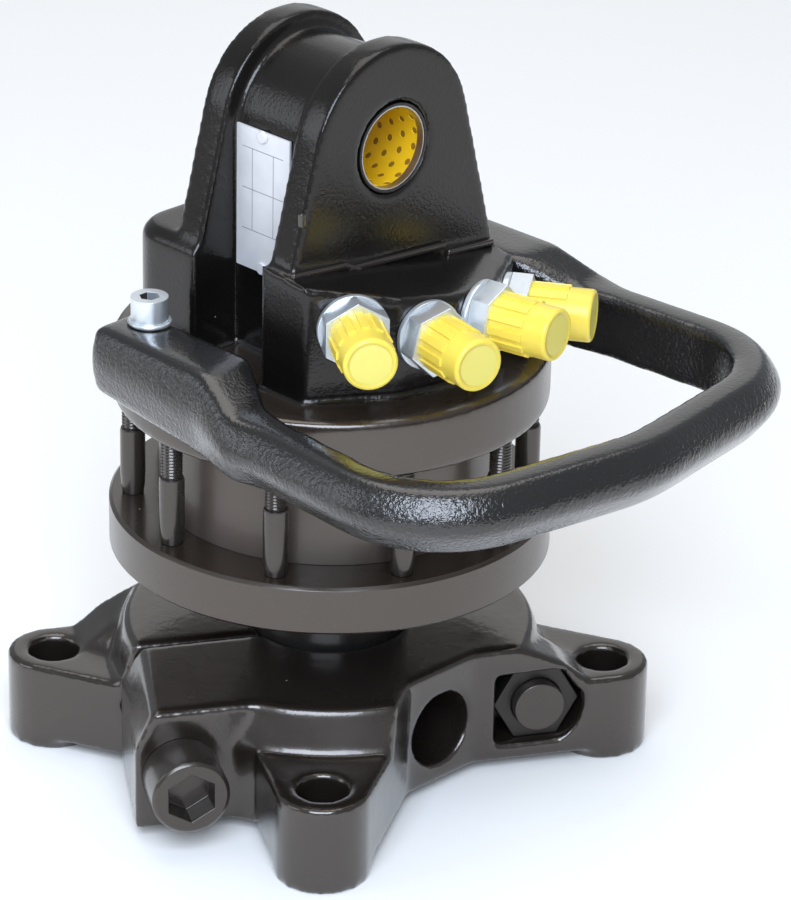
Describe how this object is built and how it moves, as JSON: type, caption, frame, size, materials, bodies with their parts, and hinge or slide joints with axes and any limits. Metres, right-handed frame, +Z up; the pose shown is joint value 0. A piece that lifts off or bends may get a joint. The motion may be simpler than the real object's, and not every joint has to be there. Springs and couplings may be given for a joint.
{
  "type": "hydraulic grapple rotator",
  "caption": "Hydraulic rotator: cast link eye over a vane motor with side hose ports and a hose guard, and a clamp hub with bolt lobes that turns endlessly below.",
  "frame": {"origin": "centre of the four mounting holes, on the hub's lower face", "axes": "+Z up along the rotation axis towards the link eye, -Y towards the hose ports and the guard's bow, +X to the right as seen from the ports"},
  "size_m": [0.191, 0.2127, 0.2378],
  "materials": {
    "cast_black": "glossy black paint over a sand-cast skin",
    "flange_black": "glossy black paint on turned faces",
    "guard_black": "glossy black paint over a forged skin",
    "cap_yellow": "moulded soft gloss",
    "bush_yellow": "yellow lining with grease pockets",
    "zinc": "bright bluish zinc plating",
    "plate_silver": "satin anodised",
    "black_oxide": "black oxide",
    "shaft_steel": "blackened neck, ground where it runs",
    "spring_steel": "blued spring steel",
    "bronze": "turned bearing bronze",
    "seal_rubber": "smooth black nitrile"
  },
  "bodies": {
    "head": {"head_casting": "cast_black", "pin_bush": "bush_yellow", "nameplate": "plate_silver", "nameplate_rivets": "plate_silver", "hose_guard": "guard_black", "guard_screws": "zinc", "guard_washers": "zinc", "port_washers": "zinc", "port_adapter_1": "zinc", "port_adapter_2": "zinc", "port_adapter_3": "zinc", "port_adapter_4": "zinc", "dust_cap_1": "cap_yellow", "dust_cap_2": "cap_yellow", "dust_cap_3": "cap_yellow", "dust_cap_4": "cap_yellow", "cam_ring": "flange_black", "ring_seals": "seal_rubber", "dowel_pins": "shaft_steel", "lower_flange": "flange_black", "tie_bolts": "black_oxide", "lower_bush": "bronze", "upper_bush": "bronze", "lower_thrust_washer": "bronze", "upper_thrust_washer": "bronze", "wiper_seal": "seal_rubber"},
    "rotor": {"rotor_shaft": "shaft_steel", "shaft_plugs": "shaft_steel", "swivel_seals": "seal_rubber", "vanes": "shaft_steel", "vane_springs": "spring_steel", "hub_half_front": "cast_black", "hub_half_rear": "cast_black", "clamp_bolts": "black_oxide", "clamp_nuts": "black_oxide"}
  },
  "joints": [
    {"name": "rotor_turn", "type": "hinge", "parent": "head", "child": "rotor", "pos_m": [0, 0, 0.06], "axis": [0, 0, 1], "continuous": true}
  ]
}
